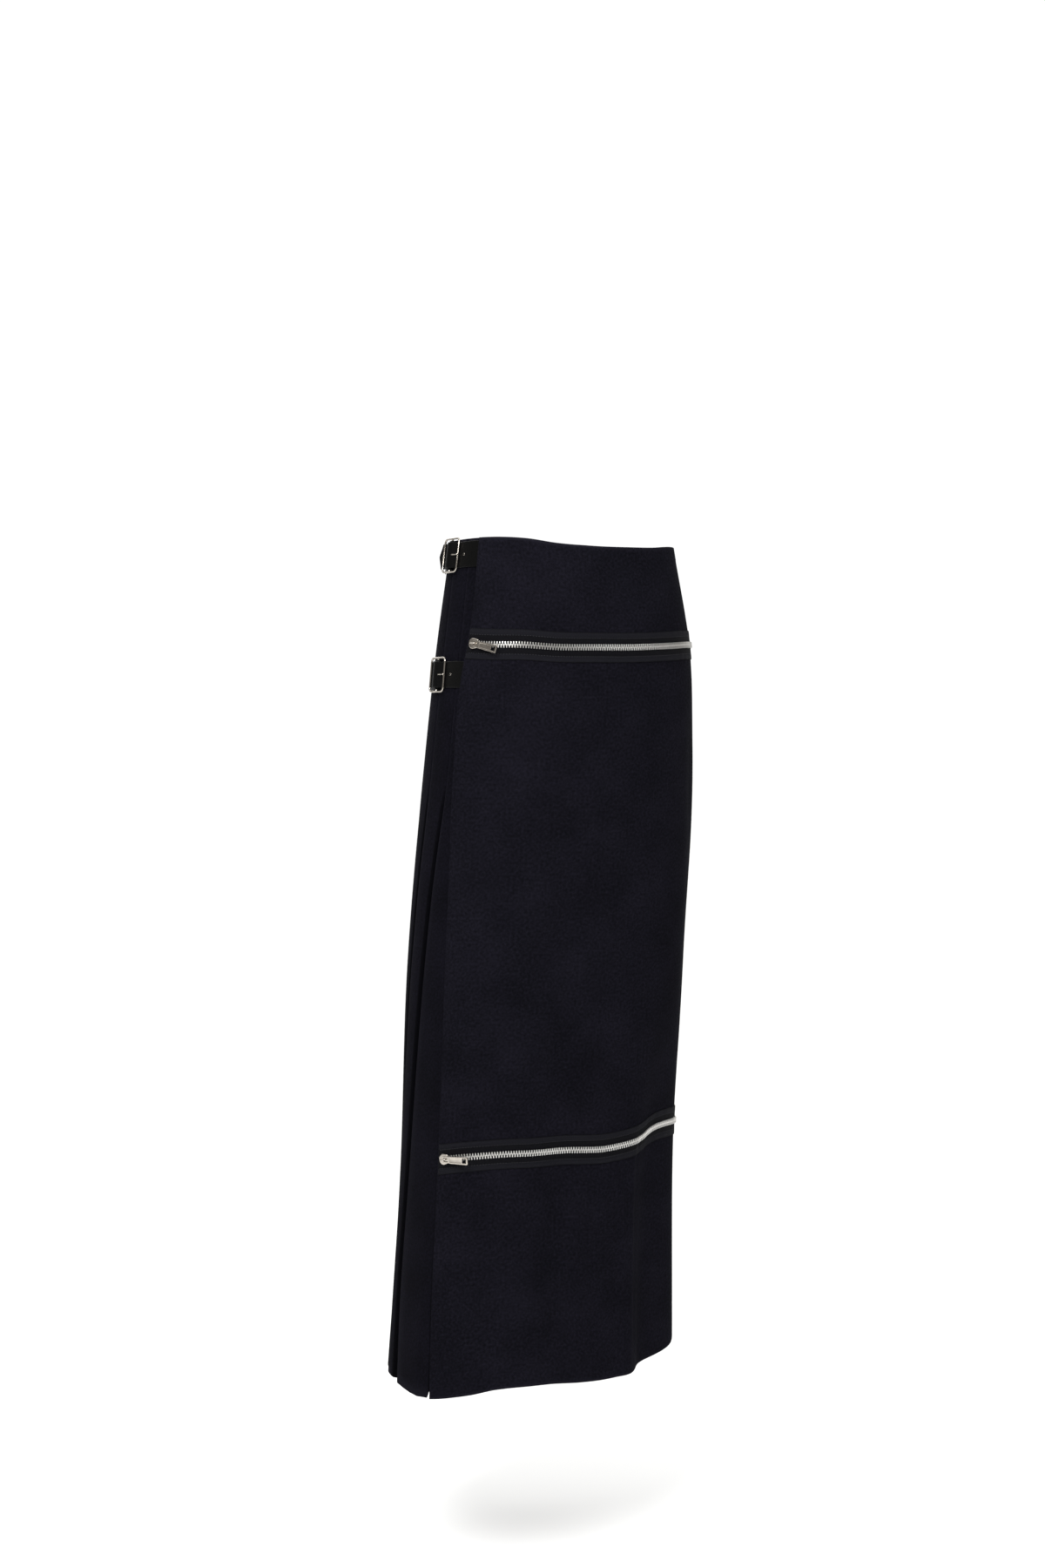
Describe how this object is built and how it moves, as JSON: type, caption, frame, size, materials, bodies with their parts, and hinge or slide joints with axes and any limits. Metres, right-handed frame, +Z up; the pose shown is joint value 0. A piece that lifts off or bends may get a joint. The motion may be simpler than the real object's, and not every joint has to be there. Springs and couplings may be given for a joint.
{
  "type": "pleated wrap kilt",
  "caption": "Long wrap kilt worn hollow: flat over-apron crossed by two exposed zips, knife-pleated back, two buckled leather straps at the right hip.",
  "frame": {"origin": "centre of the waist ring, where the wearer holds the garment", "axes": "+Z up, -Y towards the front of the garment, -X towards the wearer's right hip, where the apron ends"},
  "size_m": [0.3408, 0.3255, 0.9637],
  "materials": {
    "wool": "matt fine wool twill, near-black navy",
    "zip_tape": "matt herringbone polyester tape, charcoal",
    "zip_metal": "bright silver zip teeth",
    "nickel": "polished nickel plate",
    "leather": "black smooth leather"
  },
  "bodies": {
    "garment": {"apron_upper_panel": "wool", "apron_middle_panel": "wool", "apron_lower_panel": "wool", "under_apron": "wool", "pleated_back": "wool", "upper_zip_tape_top": "zip_tape", "upper_zip_tape_bottom": "zip_tape", "lower_zip_tape_top": "zip_tape", "lower_zip_tape_bottom": "zip_tape", "upper_zip_chain": "zip_metal", "lower_zip_chain": "zip_metal", "upper_zip_slider": "nickel", "lower_zip_slider": "nickel", "waist_strap": "leather", "waist_buckle_tab": "leather", "waist_buckle_frame": "nickel", "waist_buckle_prong": "nickel", "hip_strap": "leather", "hip_buckle_tab": "leather", "hip_buckle_frame": "nickel", "hip_buckle_prong": "nickel"},
    "upper_pull": {"upper_zip_pull": "nickel"},
    "lower_pull": {"lower_zip_pull": "nickel"}
  },
  "joints": [
    {"name": "upper_pull_hinge", "type": "hinge", "parent": "garment", "child": "upper_pull", "pos_m": [-0.15107, -0.04729, -0.11332], "axis": [-0.1871, 0.1609, -0.9691], "range_deg": [0, 170]},
    {"name": "lower_pull_hinge", "type": "hinge", "parent": "garment", "child": "lower_pull", "pos_m": [-0.17165, -0.01762, -0.68482], "axis": [0.0369, -0.006, -0.9993], "range_deg": [0, 170]}
  ]
}
